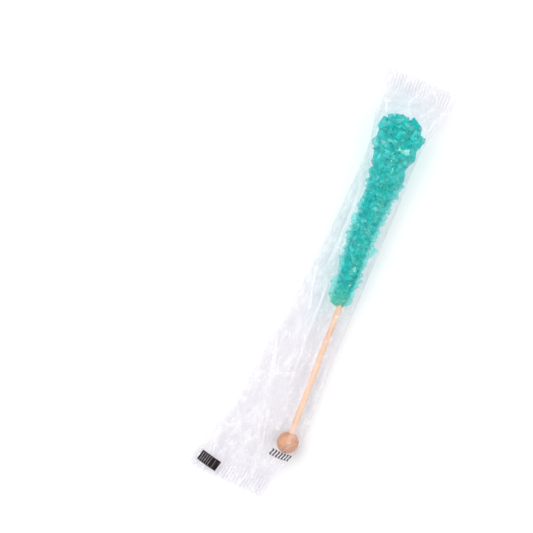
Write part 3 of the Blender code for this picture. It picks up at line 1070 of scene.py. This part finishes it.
def ink_patch(shape, height, corners, steps_long, steps_wide, lift=0.05 * MM, thick=0.04 * MM):
    """Lays one thin four-cornered patch of ink on the film."""
    a, b, c, d = [np.array(p) * MM for p in corners]
    sheets = []
    for level in (lift + thick, lift):
        rows = []
        for i in range(steps_long + 1):
            s = i / steps_long
            rows.append([])
            for j in range(steps_wide + 1):
                t = j / steps_wide
                x, y = (a * (1 - s) + b * s) * (1 - t) + (d * (1 - s) + c * s) * t
                rows[-1].append(shape.verts.new(to_row(x, y, height(x, y) + level)))
        sheets.append(rows)
    upper, lower = sheets
    for i in range(steps_long):
        for j in range(steps_wide):
            shape.faces.new((upper[i][j], upper[i + 1][j], upper[i + 1][j + 1], upper[i][j + 1]))
            shape.faces.new((lower[i][j], lower[i][j + 1], lower[i + 1][j + 1], lower[i + 1][j]))
    rim_up, rim_low = rim_of(upper), rim_of(lower)
    for k in range(len(rim_up)):
        n = (k + 1) % len(rim_up)
        shape.faces.new((rim_up[k], rim_low[k], rim_low[n], rim_up[n]))


def ink_material(colour):
    """Black print, thin in places where the ribs took less ink."""
    material, tree, output = new_material("black_ink")
    specks = noise(tree, object_place(tree), 1500.0, 3.0)
    tone = ramp(tree, specks, (0.35, shade(colour, 0.6)), (0.6, shade(colour, 1.0)),
                (0.80, shade((0.16, 0.13, 0.15), 1)))
    shader = add_node(tree, "ShaderNodeBsdfPrincipled", Base_Color=tone, Roughness=0.6,
                      Specular_IOR_Level=0.15)
    tree.links.new(shader.outputs[0], output.inputs["Surface"])
    return material


def lay_block(shape, height, settings):
    """A dark block of plain bars, with a strip along its upper and its lower side."""
    width, tall = settings.block_width / MM, settings.block_height / MM
    turn = np.array(((math.cos(BLOCK_LEAN), -math.sin(BLOCK_LEAN)),
                     (math.sin(BLOCK_LEAN), math.cos(BLOCK_LEAN))))

    def corners(x0, x1, y0, y1):
        return [BLOCK_MIDDLE + turn @ np.array(p) for p in ((x0, y0), (x0, y1), (x1, y1), (x1, y0))]

    pitch = 0.55 * width / settings.bar_count
    bars = [(k * pitch, pitch * 0.84) for k in range(settings.bar_count)]
    bars += [(0.55 * width, 0.20 * width), (0.76 * width, 0.24 * width)]
    for k, (start, wide) in enumerate(bars):
        x0, x1 = start - width / 2, start + wide - width / 2
        end = tall / 2 - 0.12 * (k % 2)
        ink_patch(shape, height, corners(x0, x1, -end, end), 10, 3 if k < settings.bar_count else 7)
    for base in (-tall / 2, tall / 2 - 0.5):
        ink_patch(shape, height, corners(-width / 2, width / 2, base, base + 0.5), 2, 24, lift=0.10 * MM)


def lay_strokes(shape, height, count):
    """A row of slanted strokes, each with a dash at its two ends."""
    step = (STROKES_TO - STROKES_FROM) / count
    dash = step * 0.55
    for k in range(count):
        middle = STROKES_FROM + step * (k + 0.5)
        low, high = middle - STROKE_RISE, middle + STROKE_RISE
        for a, b in ((low, high), (high - dash, high), (low, low + dash)):
            side = np.array((-(b - a)[1], (b - a)[0])) / np.linalg.norm(b - a) * STROKE_HALF_WIDTH
            ink_patch(shape, height, (a - side, b - side, b + side, a + side), 8, 1)


class BuildPrint(bpy.types.Operator):
    """Lays the plain printed block and the slanted strokes on the film"""
    bl_idname = "rock_candy.print"
    bl_label = "Print"

    def execute(self, context):
        settings = context.scene.rock_candy_print
        height = film_surface()
        shape = bmesh.new()
        lay_block(shape, height, settings)
        lay_strokes(shape, height, settings.stroke_count)
        bmesh.ops.recalc_face_normals(shape, faces=shape.faces)
        finish_piece("ink_print", shape_mesh(shape, "ink_print"), ink_material(settings.ink))
        return {"FINISHED"}


# ---------------------------------------------------------------- stage

def floor_material(colour):
    """A plain pale floor that keeps the pack's shadow and turns plain white far from it."""
    material, tree, output = new_material("pale_floor")
    at = object_place(tree)
    mottle = noise(tree, at, 6.0, 2.0)
    tone = ramp(tree, mottle, (0.3, shade(colour, 0.995)), (0.7, shade(colour, 1.005)))
    matt = add_node(tree, "ShaderNodeBsdfDiffuse", Color=tone)
    path = add_node(tree, "ShaderNodeLightPath").outputs
    seen = calc(tree, "MAXIMUM", path["Is Camera Ray"], path["Is Glossy Ray"])
    seen = calc(tree, "MAXIMUM", seen, path["Is Transmission Ray"])
    away = add_node(tree, "ShaderNodeVectorMath", {"operation": "LENGTH"}, i0=at).outputs["Value"]
    away = remap(tree, away, 0.3, 1.2, 0.08, 0.80, interpolation_type="SMOOTHSTEP")
    lift = calc(tree, "MULTIPLY", seen, away)
    glow = add_node(tree, "ShaderNodeEmission", Color=(1, 1, 1, 1), Strength=lift)
    both = add_node(tree, "ShaderNodeAddShader", i0=matt.outputs[0], i1=glow.outputs[0])
    tree.links.new(both.outputs[0], output.inputs["Surface"])
    return material


def area_lamp(name, power, size, place, glints=False):
    """A white lamp aimed at the pack; only the lamps with glints are mirrored in the film."""
    lamp = bpy.data.lights.new(name, "AREA")
    lamp.energy = power
    lamp.shape = "RECTANGLE"
    lamp.size, lamp.size_y = size
    lamp.color = (1, 1, 1)
    holder = bpy.data.objects.new(name, lamp)
    holder.location = place
    holder.rotation_euler = (-Vector(place)).to_track_quat("-Z", "Y").to_euler()
    holder.visible_camera = False
    holder.visible_glossy = glints
    bpy.context.scene.collection.objects.link(holder)


class BuildStage(bpy.types.Operator):
    """Lays the floor and sets up the lamps, the surround and the camera"""
    bl_idname = "rock_candy.stage"
    bl_label = "Stage"

    def execute(self, context):
        scene = context.scene
        stage = scene.rock_candy_stage
        mesh = bpy.data.meshes.new("floor")
        reach, drop = 3.0, -0.0001
        mesh.from_pydata([(-reach, -reach, drop), (reach, -reach, drop), (reach, reach, drop),
                          (-reach, reach, drop)], [], [(0, 1, 2, 3)])
        floor = bpy.data.objects.new("floor", mesh)
        mesh.materials.append(floor_material(stage.floor))
        scene.collection.objects.link(floor)

        world = bpy.data.worlds.new("surround")
        world.use_nodes = True
        tree = world.node_tree
        tree.nodes.clear()
        direction = add_node(tree, "ShaderNodeTexCoord").outputs["Generated"]
        up = add_node(tree, "ShaderNodeSeparateXYZ", Vector=direction).outputs[2]
        strength = remap(tree, up, 0.35, 0.80, 1.0, stage.sky, interpolation_type="SMOOTHSTEP")
        light = add_node(tree, "ShaderNodeBackground", Color=(1, 1, 1, 1), Strength=strength)
        output = tree.nodes.new("ShaderNodeOutputWorld")
        tree.links.new(light.outputs[0], output.inputs[0])
        scene.world = world

        area_lamp("key", stage.key, (0.60, 0.50), (-0.38, 0.30, 0.62))
        area_lamp("fill", stage.fill, (0.60, 0.40), (0.42, -0.05, 0.5))
        area_lamp("edge", stage.fill * 0.6, (0.40, 0.50), (-0.45, -0.25, 0.42))
        area_lamp("near_strip", 0.6, (0.03, 0.4), (0.24, 0.09, 0.75), glints=True)
        area_lamp("far_strip", 0.6, (0.4, 0.03), (-0.14, -0.30, 0.75), glints=True)

        lens = bpy.data.cameras.new("camera")
        lens.lens = 85
        lens.sensor_width = 36
        camera = bpy.data.objects.new("camera", lens)
        camera.location = (SEAL_MIDDLE - 28.2 * MM, LOW.y + 106.2 * MM, 0.637)
        camera.rotation_euler = (0, 0, math.radians(26.05))
        scene.collection.objects.link(camera)
        scene.camera = camera
        scene.view_settings.view_transform = "Standard"
        return {"FINISHED"}


# ---------------------------------------------------------------- panel and registering

SETTINGS = (("rock_candy_stick", StickSettings), ("rock_candy_candy", CandySettings),
            ("rock_candy_film", FilmSettings), ("rock_candy_print", PrintSettings),
            ("rock_candy_stage", StageSettings))
OPERATORS = (BuildStick, BuildCandy, BuildFilm, BuildPrint, BuildStage)


class RockCandyPanel(bpy.types.Panel):
    """Lists the pieces and their settings"""
    bl_idname = "VIEW3D_PT_rock_candy"
    bl_label = "Rock Candy Stick"
    bl_space_type = "VIEW_3D"
    bl_region_type = "UI"
    bl_category = "Rock Candy"

    def draw(self, context):
        for operator, (name, group) in zip(OPERATORS, SETTINGS):
            box = self.layout.box()
            box.operator(operator.bl_idname)
            settings = getattr(context.scene, name)
            for prop in group.__annotations__:
                box.prop(settings, prop)


def register():
    for name, group in SETTINGS:
        bpy.utils.register_class(group)
        setattr(bpy.types.Scene, name, PointerProperty(type=group))
    for operator in OPERATORS:
        bpy.utils.register_class(operator)
    bpy.utils.register_class(RockCandyPanel)


def unregister():
    bpy.utils.unregister_class(RockCandyPanel)
    for operator in reversed(OPERATORS):
        bpy.utils.unregister_class(operator)
    for name, group in reversed(SETTINGS):
        delattr(bpy.types.Scene, name)
        bpy.utils.unregister_class(group)


def main():
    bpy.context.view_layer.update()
    register()
    bpy.ops.rock_candy.stick()
    bpy.ops.rock_candy.candy()
    bpy.ops.rock_candy.film()
    bpy.ops.rock_candy.print()
    bpy.ops.rock_candy.stage()


if __name__ == "__main__":
    main()
